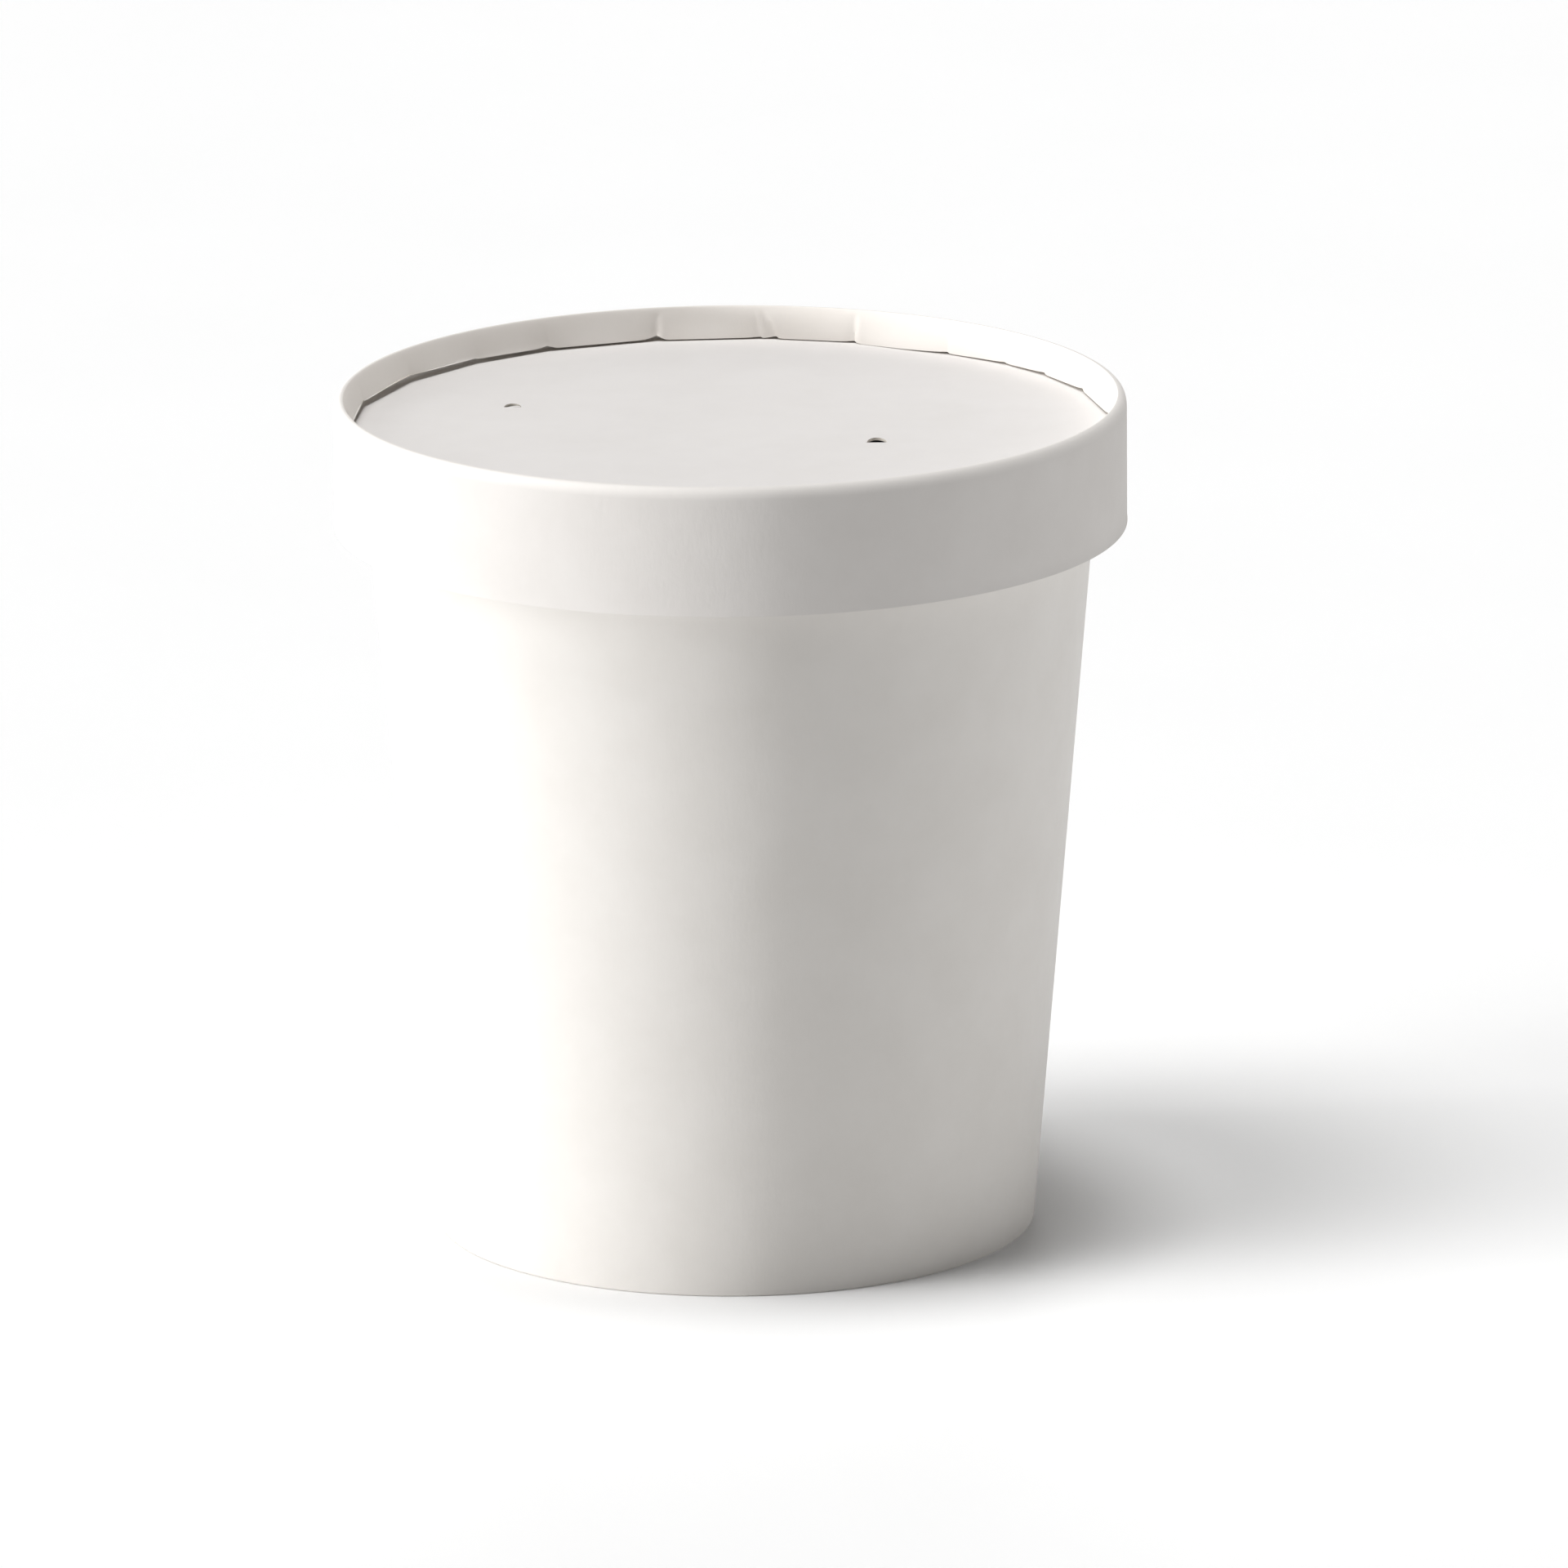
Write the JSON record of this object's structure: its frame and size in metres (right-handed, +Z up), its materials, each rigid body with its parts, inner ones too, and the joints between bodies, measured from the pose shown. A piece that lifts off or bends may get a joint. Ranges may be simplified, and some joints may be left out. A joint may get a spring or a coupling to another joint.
{
  "type": "takeaway soup container",
  "caption": "Tapered round white paper soup container, shut with a deep-skirted paper lid that has a recessed disc with steam vents.",
  "frame": {"origin": "centre of the base, on the plane that the container stands on", "axes": "+Z up along the container's axis; -Y is the side that the picture sees; the vents lie to the left and right of it"},
  "size_m": [0.1, 0.1, 0.1072],
  "materials": {
    "cup_paper": "satin",
    "disc_paper": "matte",
    "band_paper": "matte"
  },
  "bodies": {
    "root": {"cup": "cup_paper", "lid_disc": "disc_paper", "lid_band": "band_paper"}
  },
  "joints": []
}
